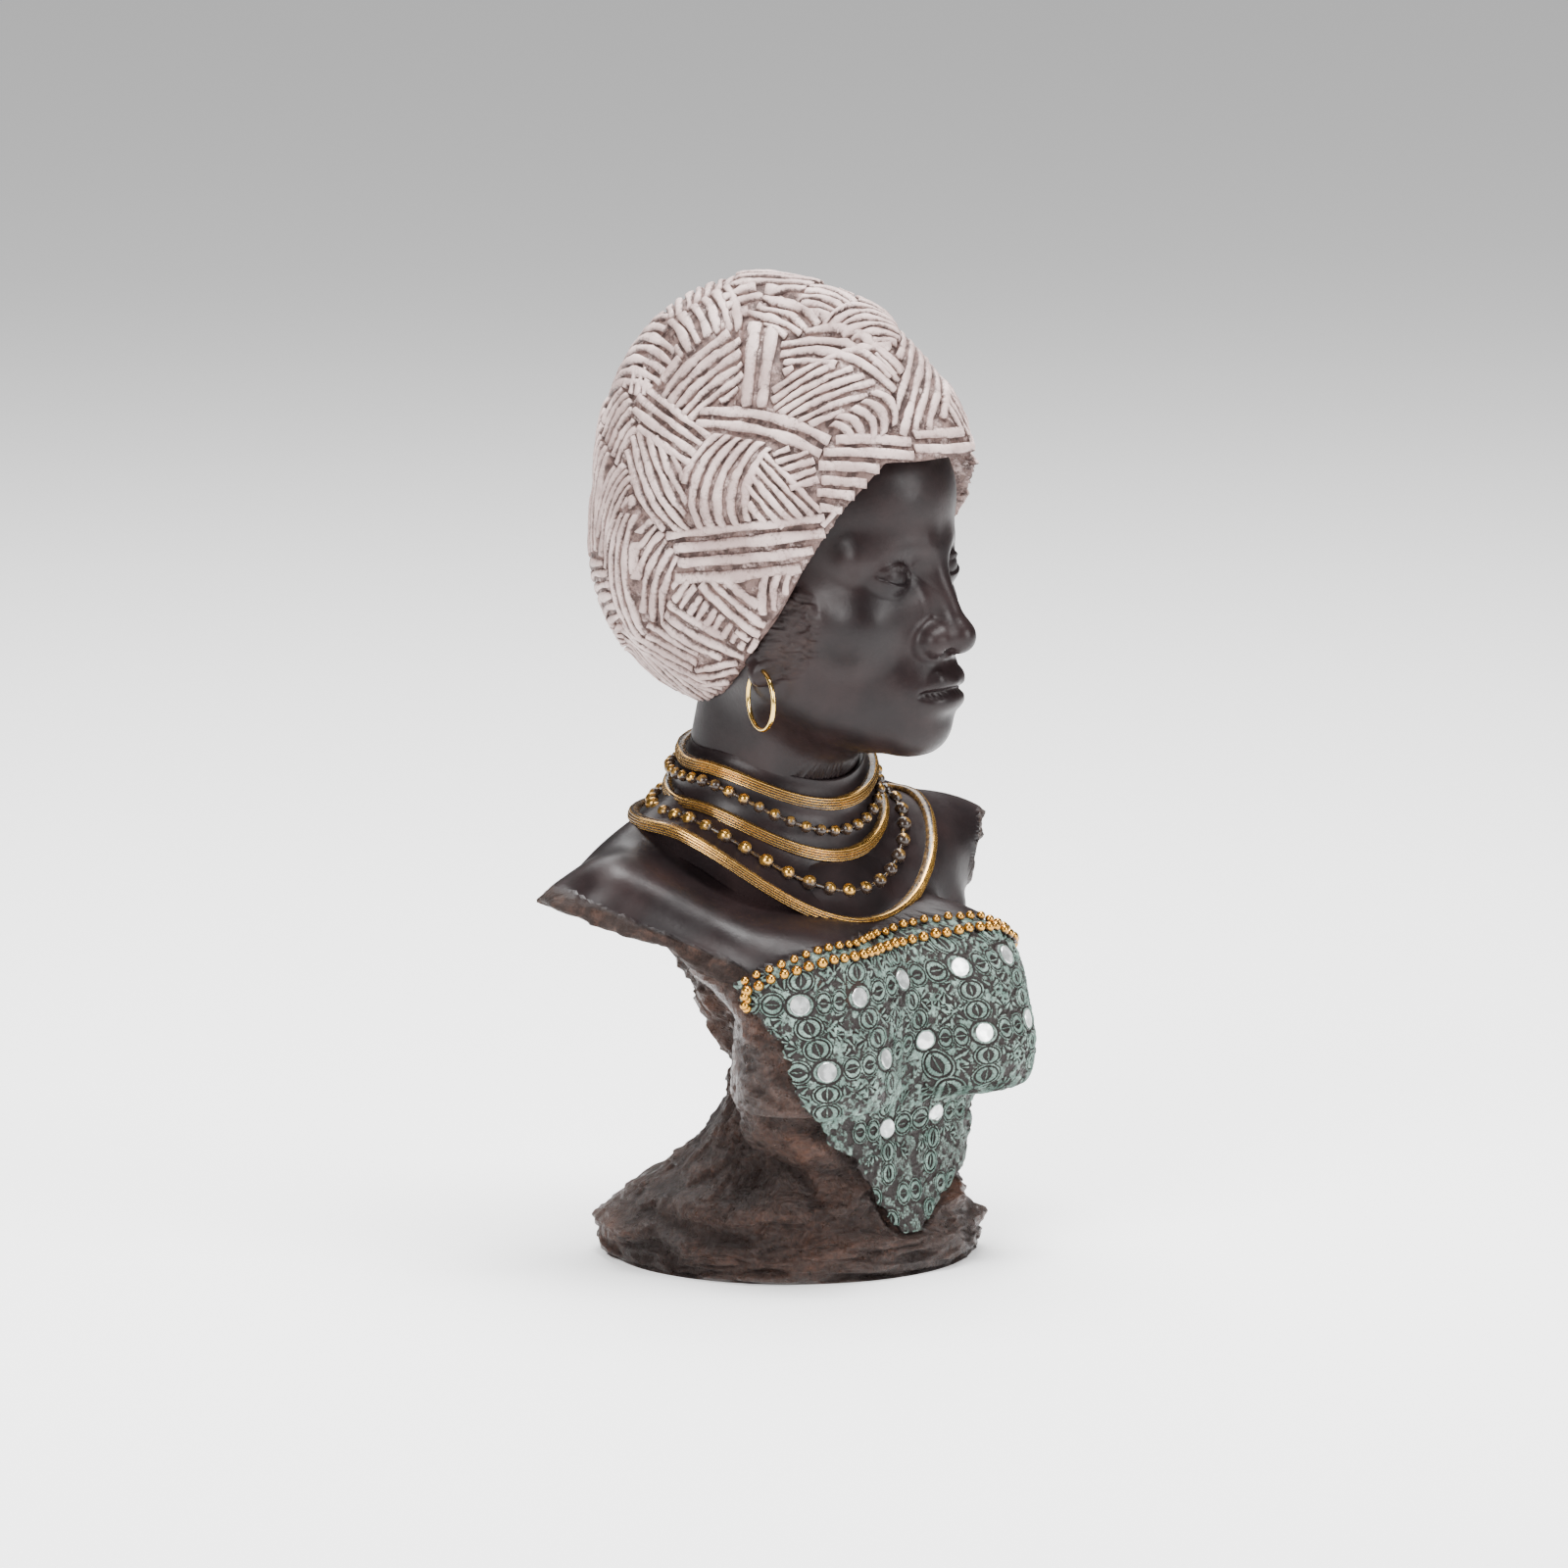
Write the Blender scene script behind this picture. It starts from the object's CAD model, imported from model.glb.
import itertools
import math

import bmesh
import bpy
import numpy as np
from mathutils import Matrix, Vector


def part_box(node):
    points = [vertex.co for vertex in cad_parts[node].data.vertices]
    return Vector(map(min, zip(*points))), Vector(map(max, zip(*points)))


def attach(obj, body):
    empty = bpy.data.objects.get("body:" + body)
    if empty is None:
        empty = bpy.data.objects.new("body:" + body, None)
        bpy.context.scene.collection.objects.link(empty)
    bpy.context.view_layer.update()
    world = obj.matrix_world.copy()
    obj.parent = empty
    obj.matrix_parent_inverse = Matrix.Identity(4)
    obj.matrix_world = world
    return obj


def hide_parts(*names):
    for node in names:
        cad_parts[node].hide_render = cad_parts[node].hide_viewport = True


# A painted resin bust with a wrapped head, ridged collars and a patterned bodice, dressed over the packed
# solids. Shapes are worked out in millimetres on the figure's own axes and are moved to the frame at the end:
# her left is +X, she faces -Y and the underside is z 0.

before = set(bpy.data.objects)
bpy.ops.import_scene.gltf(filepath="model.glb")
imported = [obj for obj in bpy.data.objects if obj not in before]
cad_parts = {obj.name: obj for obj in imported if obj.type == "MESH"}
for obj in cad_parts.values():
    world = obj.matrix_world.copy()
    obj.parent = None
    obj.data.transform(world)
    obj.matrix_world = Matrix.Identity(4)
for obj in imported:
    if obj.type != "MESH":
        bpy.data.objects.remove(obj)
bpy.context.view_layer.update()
rng = np.random.default_rng(7)

figure = {
    "chinHeight": 170,
    "headHeight": 122,
    "headTurn": math.radians(16),
    "headCentre": (1.5, -12, 0),
    "lobeHeight": 198,
}
third = figure["headHeight"] / 3.5
noseBase = figure["chinHeight"] + third
browLine = figure["chinHeight"] + 2 * third
eyeLine = figure["chinHeight"] + figure["headHeight"] / 2
mouthLine = noseBase - third / 3


# points from three coordinates, each an array or a single number
def xyz(x, y, z):
    return np.stack(np.broadcast_arrays(x, y, z), -1)


def vec(*values):
    return np.array(values, float)


def unit(v):
    return v / np.linalg.norm(v, axis=-1, keepdims=True)


# the same points with both sides on +X, which meet softly at the middle
def mirrored(p, soft=0.0):
    side = p.copy()
    side[..., 0] = np.sqrt(p[..., 0] ** 2 + soft)
    return side


# a value read off a table of places and values
def readOff(table, x):
    return np.interp(x, *zip(*table))


# distance fields on arrays of points, negative inside
def blend(a, b, soft):
    near = np.maximum(soft - np.abs(a - b), 0) / soft
    return np.minimum(a, b) - near * near * soft / 4


def carve(a, b, soft):
    return -blend(-a, b, soft)


def egg(p, middle, half):
    q = (p - vec(*middle)) / vec(*half)
    near = np.linalg.norm(q, axis=-1)
    return near * (near - 1) / np.maximum(np.linalg.norm(q / vec(*half), axis=-1), 1e-6)


def limb(p, start, end, startRadius, endRadius):
    axis = vec(*end) - vec(*start)
    along = np.clip((p - vec(*start)) @ axis / (axis @ axis), 0, 1)
    gap = np.linalg.norm(p - vec(*start) - along[..., None] * axis, axis=-1)
    return gap - (startRadius + (endRadius - startRadius) * along)


def ball(p, middle, radius):
    return np.linalg.norm(p - vec(*middle), axis=-1) - radius


def bump(x, width):
    return np.exp(-(x / width) ** 2)


def ramp(x, low, high):
    t = np.clip((x - low) / (high - low), 0, 1)
    return t * t * (3 - 2 * t)


# smooth value noise between -1 and 1
def cloud(p, scale, seed=0):
    q = p / scale
    cell = np.floor(q).astype(np.int64)
    part = q - cell
    part = part * part * (3 - 2 * part)
    total = np.zeros(len(p))
    for corner in itertools.product((0, 1), repeat=3):
        at = cell + np.array(corner)
        mixed = (at[:, 0] * 73856093) ^ (at[:, 1] * 19349663) ^ (at[:, 2] * 83492791) ^ (seed * 2654435)
        mixed = ((mixed & 0xFFFFFF) * 1103515245 + 12345) & 0x7FFFFFFF
        mixed = ((mixed ^ (mixed >> 13)) * 1274126177) & 0x7FFFFFFF
        weight = np.prod(np.where(np.array(corner), part, 1 - part), axis=1)
        total += weight * (mixed / 0x3FFFFFFF - 1)
    return total


def clouds(p, scale, layers=3, seed=0):
    return sum(cloud(p, scale / 2 ** i, seed + i) / 2 ** i for i in range(layers)) / 1.5


# torn clay: flakes that overlap in steep little ledges, with lumps and grit between
def tornClay(p, size, stretch=(1, 1, 1), seed=0):
    warp = np.stack([clouds(p, size * 1.4, 2, seed + axis) for axis in (1, 2, 3)], -1)
    q = (p + 0.35 * size * warp) * vec(*stretch)
    total = 0.5 * clouds(q, size * 1.5, 2, seed)
    for layer, (scale, steps) in enumerate(((size, 2.6), (size * 0.5, 2.2))):
        level = clouds(q, scale, 2, seed + 10 * layer) * steps
        part = level - np.floor(level)
        total += (np.floor(level) + ramp(part, 0.72, 1.0) - 0.35 * part) / steps / (1.2 + layer)
    return total + 0.10 * clouds(p, size * 0.18, 2, seed + 5)


# how far each ray runs inside a form before it leaves it
rays = {"step": 0.4, "caution": 0.7, "halvings": 10}


def reach(field, start, directions, longest):
    count = len(directions)
    longest = np.broadcast_to(np.asarray(longest, float), count)
    start = np.broadcast_to(start, directions.shape)
    inside = np.zeros(count)
    step = np.full(count, rays["step"])
    live = np.arange(count)
    while len(live):
        aim = directions[live]
        room = -field(start[live] + aim * inside[live, None])
        step[live] = np.maximum(room * rays["caution"], rays["step"])
        out = field(start[live] + aim * (inside[live] + step[live])[:, None]) > 0
        inside[live[~out]] += step[live[~out]]
        live = live[~out & (inside[live] < longest[live])]
    for _ in range(rays["halvings"]):
        step /= 2
        add = field(start + directions * (inside + step)[:, None]) < 0
        inside[add] += step[add]
    return np.minimum(inside, longest)


def heading(around, down):
    return xyz(np.sin(around) * np.sin(down), -np.cos(around) * np.sin(down), np.cos(down))


def sideways(around):
    return heading(around, np.full(np.shape(around), math.pi / 2))


# the head's own axes face +Y; the same turn leads to them and back
def headTurned(q):
    cos, sin = math.cos(figure["headTurn"]), math.sin(figure["headTurn"])
    x, y, z = q[..., 0], q[..., 1], q[..., 2]
    return xyz(x * cos + y * sin, x * sin - y * cos, z)


def fromHead(q):
    return headTurned(q) + vec(*figure["headCentre"])


hoop = {
    "radius": 9.8, "wire": 0.75, "holeHeight": 200.4, "forward": 2, "side": 39, "turn": 57,
    "wireSides": 14, "steps": 72, "color": (0.86, 0.58, 0.17), "roughness": 0.16,
}


def hoopPlace(side):
    return vec(side * hoop["side"], hoop["forward"], hoop["holeHeight"] - hoop["radius"])


# the frame's origin in figure millimetres, from the right hoop's box
hoopLow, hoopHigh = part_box("earring_right")
shift = np.array((hoopLow + hoopHigh) / 2) * 1000 - fromHead(hoopPlace(-1))


# meshes
def pointsOf(mesh):
    flat = np.empty(len(mesh.vertices) * 3, np.float32)
    mesh.vertices.foreach_get("co", flat)
    return flat.reshape(-1, 3).astype(float)


def toMesh(bm, name):
    mesh = bpy.data.meshes.new(name)
    bm.to_mesh(mesh)
    bm.free()
    return mesh


def finish(mesh, points, material, slot, node="bust", smooth=True, **attributes):
    mesh.vertices.foreach_set("co", ((points + shift) / 1000).astype(np.float32).ravel())
    for key, values in attributes.items():
        layer = mesh.attributes.new(key, "FLOAT", "POINT")
        layer.data.foreach_set("value", np.asarray(values, np.float32))
    bm = bmesh.new()
    bm.from_mesh(mesh)
    bmesh.ops.remove_doubles(bm, verts=bm.verts, dist=1e-6)
    bmesh.ops.recalc_face_normals(bm, faces=bm.faces)
    bm.to_mesh(mesh)
    bm.free()
    mesh.polygons.foreach_set("use_smooth", [smooth] * len(mesh.polygons))
    mesh.materials.append(material)
    mesh.update()
    obj = bpy.data.objects.new(mesh.name, mesh)
    bpy.context.collection.objects.link(obj)
    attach(obj, "root")
    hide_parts(node)
    print(obj.name, len(mesh.polygons), "faces")


# a sphere's mesh, with each point's bearing and its angle down from the top
def roundMesh(name, columns, rows):
    bm = bmesh.new()
    bmesh.ops.create_uvsphere(bm, u_segments=columns, v_segments=rows, radius=1)
    mesh = toMesh(bm, name)
    p = pointsOf(mesh)
    around = np.arctan2(p[:, 0], -p[:, 1])
    around[np.hypot(p[:, 0], p[:, 1]) < 1e-6] = 0
    return mesh, around, np.arccos(np.clip(p[:, 2], -1, 1))


# a grid whose points run over 0..1 both ways
def gridMesh(name, columns, rows):
    bm = bmesh.new()
    bmesh.ops.create_grid(bm, x_segments=columns, y_segments=rows, size=0.5)
    mesh = toMesh(bm, name)
    p = pointsOf(mesh)
    return mesh, p[:, 0] + 0.5, p[:, 1] + 0.5


# a grid that goes once round the neck
def ringMesh(name, columns, rows):
    mesh, across, along = gridMesh(name, columns, rows)
    around = across * 2 * math.pi
    return mesh, around, along, sideways(around)


def ballShape(columns, rows):
    shape = bmesh.new()
    bmesh.ops.create_uvsphere(shape, u_segments=columns, v_segments=rows, radius=1)
    return shape


# one mesh of the same small shape at many places, each of which gives its points and their heights
def scatter(name, shape, places, material, slot):
    base = toMesh(shape, name + "Shape")
    own = pointsOf(base)
    bm = bmesh.new()
    for _ in places:
        bm.from_mesh(base)
    points, heights = zip(*[place(own) for place in places])
    finish(toMesh(bm, name), np.concatenate(points), material, slot, height=np.concatenate(heights))


# materials; a socket is set by its name, with _ for a space
def newMaterial(name, **sockets):
    material = bpy.data.materials.new(name)
    material.use_nodes = True
    shader = material.node_tree.nodes["Principled BSDF"]
    for key, value in sockets.items():
        shader.inputs[key.replace("_", " ")].default_value = value
    return material


class Paint:
    def __init__(self, name, **sockets):
        self.material = newMaterial(name, **sockets)
        self.tree = self.material.node_tree
        self.shader = self.tree.nodes["Principled BSDF"]
        self.place = self.tree.nodes.new("ShaderNodeTexCoord").outputs["Object"]

    def feed(self, socket, source):
        self.tree.links.new(source, self.shader.inputs[socket])

    # a number, a color or another node's output
    def give(self, socket, value):
        if isinstance(value, (int, float)):
            socket.default_value = value
        elif isinstance(value, tuple):
            socket.default_value = (*value, 1)
        else:
            self.tree.links.new(value, socket)

    def fill(self, node, **values):
        for key, value in values.items():
            self.give(node.inputs[key.replace("_", " ")], value)

    # noise whose features are about this many millimetres across
    def noise(self, size, detail=4.0, roughness=0.55, distortion=0.0):
        node = self.tree.nodes.new("ShaderNodeTexNoise")
        self.fill(node, Vector=self.place, Scale=1000 / size, Detail=detail, Roughness=roughness,
                  Distortion=distortion)
        return node.outputs["Fac"]

    def attribute(self, name):
        node = self.tree.nodes.new("ShaderNodeAttribute")
        node.attribute_name = name
        return node.outputs["Fac"]

    def span(self, value, low, high, toLow=0.0, toHigh=1.0):
        node = self.tree.nodes.new("ShaderNodeMapRange")
        node.interpolation_type = "SMOOTHSTEP"
        self.fill(node, Value=value, From_Min=low, From_Max=high, To_Min=toLow, To_Max=toHigh)
        return node.outputs["Result"]

    def math(self, operation, first, second):
        node = self.tree.nodes.new("ShaderNodeMath")
        node.operation = operation
        self.give(node.inputs[0], first)
        self.give(node.inputs[1], second)
        return node.outputs["Value"]

    def plus(self, first, second, share):
        return self.math("ADD", first, self.math("MULTIPLY", second, share))

    # a height with the grain of the paint on it
    def grained(self, height, grain, amount):
        return self.plus(height, self.math("SUBTRACT", grain, 0.5), amount)

    def mix(self, factor, first, second):
        node = self.tree.nodes.new("ShaderNodeMix")
        node.data_type = "RGBA"
        self.fill(node, Factor=factor)
        self.give(node.inputs[6], first)
        self.give(node.inputs[7], second)
        return node.outputs[2]

    def bump(self, height, depth, strength=1.0):
        node = self.tree.nodes.new("ShaderNodeBump")
        self.fill(node, Strength=strength, Distance=depth / 1000, Height=height)
        self.feed("Normal", node.outputs["Normal"])


# dark satin paint over the skin, with broken clay where the attribute asks for it
skinLook = {
    "dark": (0.0085, 0.0056, 0.006),
    "warm": (0.018, 0.0105, 0.0105),
    "clay": (0.022, 0.013, 0.0105),
    "clayWorn": (0.078, 0.041, 0.029),
    "specular": 0.21, "roughness": 0.33, "duller": 0.14, "clayDuller": 0.22, "grain": 0.012, "depth": 5,
}


def skinMaterial():
    paint = Paint("darkWaxedResin", Specular_IOR_Level=skinLook["specular"])
    broken = paint.attribute("broken")
    skin = paint.mix(paint.span(paint.noise(22, 5), 0.35, 0.7), skinLook["dark"], skinLook["warm"])
    rubble = paint.mix(paint.span(paint.noise(5, 6, 0.7), 0.45, 0.75), skinLook["clay"], skinLook["clayWorn"])
    paint.feed("Base Color", paint.mix(broken, skin, rubble))
    rough = skinLook["roughness"]
    gloss = paint.span(paint.noise(9, 5), 0.3, 0.75, rough, rough + skinLook["duller"])
    paint.feed("Roughness", paint.plus(gloss, broken, skinLook["clayDuller"]))
    fine = paint.math("MULTIPLY", paint.noise(1.3, 5, 0.6), skinLook["grain"])
    paint.bump(paint.plus(fine, paint.noise(9, 9, 0.62, 0.8), broken), skinLook["depth"])
    return paint.material


darkSkin = skinMaterial()

face = {
    "columns": 260, "rows": 260, "rayStart": (0, 22, noseBase + 4), "longest": 95, "neckCut": 158,
    "towardsFace": 0.5, "towardsLevel": 0.24, "seam": 1.2,
    "eyeSide": 16.2, "eyeForward": 34.6, "eyeHalf": 8.2, "eyeball": 7.4, "lid": 8.4,
    "hairMiddle": (35, 9, 214), "hairHalf": (12, 12, 17), "curl": 0.9, "hairBroken": 0.2,
}


def headField(p):
    side = mirrored(p, face["seam"])
    x, y, z = side[..., 0], p[..., 1], p[..., 2]
    front = np.clip((y - 30) / 6, 0, 1)
    d = blend(egg(p, (0, -8, eyeLine + 8), (38, 52, 53)), egg(p, (0, 8, noseBase + 4), (30, 37.5, 40)), 12)
    d = blend(d, egg(p, (0, 4, figure["chinHeight"] + 87), (35, 43, 30)), 10)  # forehead
    d = blend(d, egg(side, (23, -3, noseBase + 12), (12, 21, 26)), 10)  # temple and ear root
    d = blend(d, limb(side, (19.5, 4, 192), (6, 35, 180.5), 8.5, 8), 16)  # jaw
    d = blend(d, ball(p, (0, 39, 180.5), 9.4), 7)  # chin
    d = blend(d, egg(p, (0, 34, mouthLine + 1), (16.5, 17.5, 14)), 9)  # muzzle
    d = blend(d, egg(side, (20.5, 26, noseBase + 10.5), (11.5, 12, 11)), 10)  # cheekbone
    d = blend(d, limb(side, (5, 41.6, browLine - 1.5), (26.5, 30.5, browLine - 2.5), 3.4, 2.6), 10)  # brow
    d = carve(d, egg(side, (16.5, 50, eyeLine + 0.5), (11.5, 10.5, 6.6)), 6)  # socket
    d = blend(d, limb(p, (0, 42.4, browLine - 3), (0, 53, noseBase + 7), 3.2, 4.2), 6)  # bridge
    d = blend(d, limb(p, (0, 44, noseBase + 5), (0, 54, noseBase + 5.4), 5.2, 4.9), 5)  # tip
    d = blend(d, limb(side, (3, 41, noseBase + 4.8), (6.9, 48.2, noseBase + 4.4), 5.2, 4.4), 4)  # wing
    nostril = limb(side, (4.2, 52.4, noseBase - 1.6), (4.8, 49.5, noseBase + 1.6), 1.5, 1.2)
    d = carve(d, nostril, 1.4)
    eye = (face["eyeSide"], face["eyeForward"], eyeLine)
    ex, ez = x - face["eyeSide"], z - eyeLine
    almond = 1 - (ex / face["eyeHalf"]) ** 2
    upper = 2.9 * almond + 0.1 * ex
    lower = -2.3 * almond + 0.1 * ex
    lids = carve(ball(side, eye, face["lid"]), np.maximum(ez - upper, lower - ez), 0.8)
    d = blend(d, np.minimum(ball(side, eye, face["eyeball"]), lids), 1.6)
    d += 0.6 * bump(ez - upper - 2.4 + 0.02 * ex ** 2, 0.8) * bump(ex, 8) * front  # lid crease
    # upper lip, from its middle to the corner
    d = blend(d, limb(side, (0.5, 50, mouthLine + 2.4), (5.4, 48.4, mouthLine + 3), 3.2, 3.2), 2.6)
    d = blend(d, limb(side, (5.4, 48.4, mouthLine + 3), (12.2, 42.6, mouthLine + 0.4), 3.1, 1.2), 2)
    d = blend(d, egg(p, (0, 46.4, mouthLine - 4.2), (11, 6.6, 4.4)), 2.4)  # lower lip
    parting = z - (mouthLine - 0.4 + 0.5 * bump(x, 3.5) - 0.004 * x ** 2)
    d += 1.5 * bump(parting, 1.1) * np.clip((13.5 - x) / 3, 0, 1) * np.clip((y - 36) / 5, 0, 1)
    d += 0.4 * bump(x, 2) * bump(z - (noseBase + mouthLine + 5) / 2, 3.4) * front  # groove under the nose
    d += 0.8 * bump(z - (mouthLine - 10.5), 3.5) * bump(x, 9) * front  # hollow over the chin
    d = blend(d, limb(p, (0, -10, 205), (4, -25, 140), 27, 28.5), 8)  # neck
    d = blend(d, egg(side, (35.5, -2, noseBase + 9), (5, 8.5, 14)), 2.5)  # ear
    d = carve(d, egg(side, (41, -0.5, noseBase + 8), (3.2, 4.5, 8)), 1.5)  # ear hollow
    return blend(d, ball(side, (38, 1.5, figure["lobeHeight"] + 1), 4.4), 3)


def makeHead():
    mesh, around, down = roundMesh("headSkin", face["columns"], face["rows"])
    start = vec(*face["rayStart"])
    front = around - face["towardsFace"] * np.sin(around)
    aim = heading(front, down + face["towardsLevel"] * np.sin(2 * down)) * vec(1, -1, 1)
    fall = np.minimum(aim[:, 2], -1e-3)
    toCut = np.where(aim[:, 2] < -1e-3, (face["neckCut"] - start[2]) / fall, face["longest"])
    points = start + aim * reach(headField, start, aim, np.minimum(toCut, face["longest"]))[:, None]
    # tight hair scratched into the skin before the ear
    hair = ramp(egg(mirrored(points), face["hairMiddle"], face["hairHalf"]), 1.5, -2.5)
    hair *= points[:, 2] < hemHeight(points[:, 1]) + 4
    curls = cloud(points, 1.5, 3) + 0.6 * cloud(points, 0.8, 9)
    points += aim * (hair * (0.5 + face["curl"] * curls))[:, None]
    finish(mesh, fromHead(points), darkSkin, "dark_resin", broken=hair * face["hairBroken"])


# the wrap's hem climbs from the nape to a point over the brow
wrap = {
    "width": 54.8, "depth": 66.6, "rise": 68.1, "drop": 73.5, "forward": -10.4, "height": 254.6,
    "sag": 0.125, "browFlat": 0.012, "backFlat": -0.09, "sideFlat": 0.26, "crown": 0.25,
    "nape": 181.5, "highest": 270, "napeForward": -35, "slope": 0.4, "curve": 0.0095,
    "columns": 240, "rows": 130, "hemDrawnIn": 60, "hemEdge": 0.3,
    "light": (0.60, 0.46, 0.43), "shade": (0.37, 0.265, 0.245),
    "groove": (0.16, 0.10, 0.088), "deep": (0.05, 0.028, 0.024),
    "stripHeight": 1.3, "stripSunk": 1.8, "stripRuns": 16, "stripCrosses": 5, "shortest": 2.5,
    "level": 1.1, "levelTurn": 2.4, "levelBlend": 7, "horizon": 0.05,
}
wrapMiddle = vec(0, wrap["forward"], wrap["height"])


def hemHeight(forward):
    past = np.maximum(forward - wrap["napeForward"], 0)
    return np.minimum(wrap["nape"] + wrap["slope"] * past + wrap["curve"] * past * past, wrap["highest"])


def wrapPoint(direction, lift=0.0):
    direction = unit(direction)
    x, y, z = direction[..., 0], direction[..., 1], direction[..., 2]
    high, low = np.maximum(z, 0), np.maximum(-z, 0)
    fore, aft = np.maximum(y, 0), np.maximum(-y, 0)
    beside = x ** 2 / (np.abs(x) + wrap["crown"])
    size = np.sqrt((x / wrap["width"]) ** 2 + (y / wrap["depth"]) ** 2
                   + (z / np.where(z > 0, wrap["rise"], wrap["drop"])) ** 2)
    flat = wrap["browFlat"] * (fore * high) + wrap["backFlat"] * (aft * high)
    flat += wrap["sideFlat"] * (beside * high)
    far = (1 + 2 * wrap["sag"] * (aft * low) - 2 * flat) / size
    return direction * (far + lift)[..., None] + wrapMiddle


# the camera's place, and where the photograph's pixels lie on the picture plane through the axis
picture = {
    "azimuth": -42, "elevation": 9.5, "distance": 4000, "scale": 0.325, "axisPixel": 807, "groundPixel": 1273,
    "middle": (-2.3, 153.7), "rayPart": (0.96, 1.03), "raySteps": 1500,
}
around, up = math.radians(picture["azimuth"]), math.radians(picture["elevation"])
pictureTowards = vec(math.sin(around) * math.cos(up), -math.cos(around) * math.cos(up), math.sin(up))
pictureAcross = vec(math.cos(around), math.sin(around), 0)
pictureUpward = np.cross(pictureTowards, pictureAcross)
pictureTarget = pictureAcross * picture["middle"][0] + pictureUpward * picture["middle"][1]


# the place, from the wrap's middle, where the ray through a pixel meets the wrap, or its nearest pass
def onWrap(px, py):
    u = (px - picture["axisPixel"]) * picture["scale"]
    v = (picture["groundPixel"] - py) * picture["scale"]
    eye = pictureTarget + pictureTowards * picture["distance"]
    aim = pictureAcross * u + pictureUpward * v - eye
    share = np.linspace(*picture["rayPart"], picture["raySteps"])[:, None]
    own = headTurned(eye + aim * share - vec(*figure["headCentre"])) - wrapMiddle
    far = np.linalg.norm(own, axis=1)
    surface = np.linalg.norm(wrapPoint(own) - wrapMiddle, axis=1)
    inside = np.flatnonzero(far < surface)
    at = inside[0] if len(inside) else np.argmin(far - surface)
    return own[at] / far[at] * surface[at]


# patches of strips that the photograph shows, on the wrap's picture from its corner, in quarters of a pixel:
# the middle, lean in degrees, half length and half width, then the strips, and bend and wave in mm. A patch's
# scale is felt that far from its middle, and is at most the largest, in mm to a quarter pixel
wrapPicture = {"corner": (590, 260), "perPixel": 4, "felt": 30, "largest": 0.14}
seenPatches = [
    (1170, 900, -4, 200, 150, 5, 0, 0.1), (1500, 820, 1, 110, 125, 4, -1, 0.1),
    (1400, 565, 76, 170, 85, 4, 1, 0.2), (1185, 660, -50, 95, 130, 5, 4, 0.2),
    (1005, 575, 24, 200, 110, 6, 1, 0.2), (1080, 405, -16, 260, 62, 3, 4, 0.2),
    (738, 465, 84, 168, 64, 2, 0, 0.1), (505, 490, 38, 175, 120, 6, 1, 0.3),
    (490, 300, -64, 80, 140, 6, 1, 0.3), (670, 180, 17, 95, 55, 3, 1, 0.3),
    (835, 262, -27, 130, 55, 3, 2, 0.4), (1140, 300, 14, 110, 62, 4, 3, 0.4),
    (370, 705, -36, 168, 72, 3, 0, 0.2), (745, 700, -12, 285, 55, 2, 3, 0.3),
    (580, 930, 74, 180, 125, 5, 5, 0.2), (330, 920, -66, 230, 70, 4, -2, 0.3),
    (800, 985, -48, 150, 95, 5, 0, 0.2), (895, 880, 18, 75, 95, 5, 0, 0.2),
    (690, 1210, 6, 325, 98, 3, 1, 0.2), (620, 1410, -42, 125, 85, 4, 0, 0.2),
    (822, 1385, 86, 85, 92, 4, 1, 0.2), (535, 1450, 58, 45, 160, 8, 0, 0.2),
    (480, 1560, -30, 165, 58, 3, 0, 0.3), (300, 1350, 78, 170, 72, 4, 3, 0.3),
    (215, 1400, -74, 230, 45, 3, -3, 0.25), (110, 1000, 72, 140, 62, 5, 2, 0.3),
    (160, 700, 62, 110, 75, 5, 2, 0.3), (140, 1500, 5, 60, 80, 5, 1, 0.4),
    (340, 1700, -44, 130, 62, 4, 1, 0.4), (550, 1690, 12, 100, 45, 3, 0, 0.2),
    (1540, 640, -62, 95, 50, 4, 0, 0.2), (1240, 450, -48, 80, 45, 4, 0, 0.2),
    (770, 115, -4, 130, 40, 3, 0, 0.3), (1065, 1115, 48, 45, 60, 3, 0, 0.1),
    (1545, 1010, -8, 60, 70, 4, 0, 0.2), (1000, 215, -18, 70, 40, 3, 1, 0.4),
    (250, 480, 66, 90, 60, 4, 2, 0.6),
]
# patches out of sight: bearing from the brow towards her left, rise and lean in degrees, half length and
# half width in mm, then the strips, and bend and wave in mm
hiddenPatches = [
    (-150, 2, 80, 17, 11, 5, 3, 0.35), (-118, -48, -42, 15, 10, 5, 2, 0.3),
    (-150, 42, 20, 17, 10, 5, 2, 0.35), (-155, -30, 12, 16, 10, 5, 2, 0.35), (30, 16, 4, 17, 9, 4, 2, 0.2),
    (62, 34, -30, 16, 10, 4, 2, 0.4), (62, 6, 48, 14, 10, 5, 1, 0.4), (96, 24, 15, 17, 10, 4, 2, 0.4),
    (94, -12, -50, 16, 10, 5, 1, 0.4), (72, -20, -80, 12, 9, 5, 1, 0.3), (126, 8, 70, 16, 11, 5, 2, 0.35),
    (122, -28, -20, 16, 10, 5, 1, 0.3), (158, 20, -40, 17, 10, 5, 2, 0.35),
    (162, -8, 40, 16, 10, 5, 2, 0.35), (150, -42, 30, 15, 9, 5, 1, 0.3), (60, 60, 60, 15, 9, 4, 1, 0.5),
    (130, 48, -60, 16, 10, 5, 2, 0.35), (180, 62, 30, 15, 10, 5, 2, 0.35),
    (180, -48, -70, 13, 10, 5, 2, 0.3), (30, 3, -8, 13, 8, 4, 1, 0.2), (47, -8, -46, 13, 9, 4, 1, 0.2),
]


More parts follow.
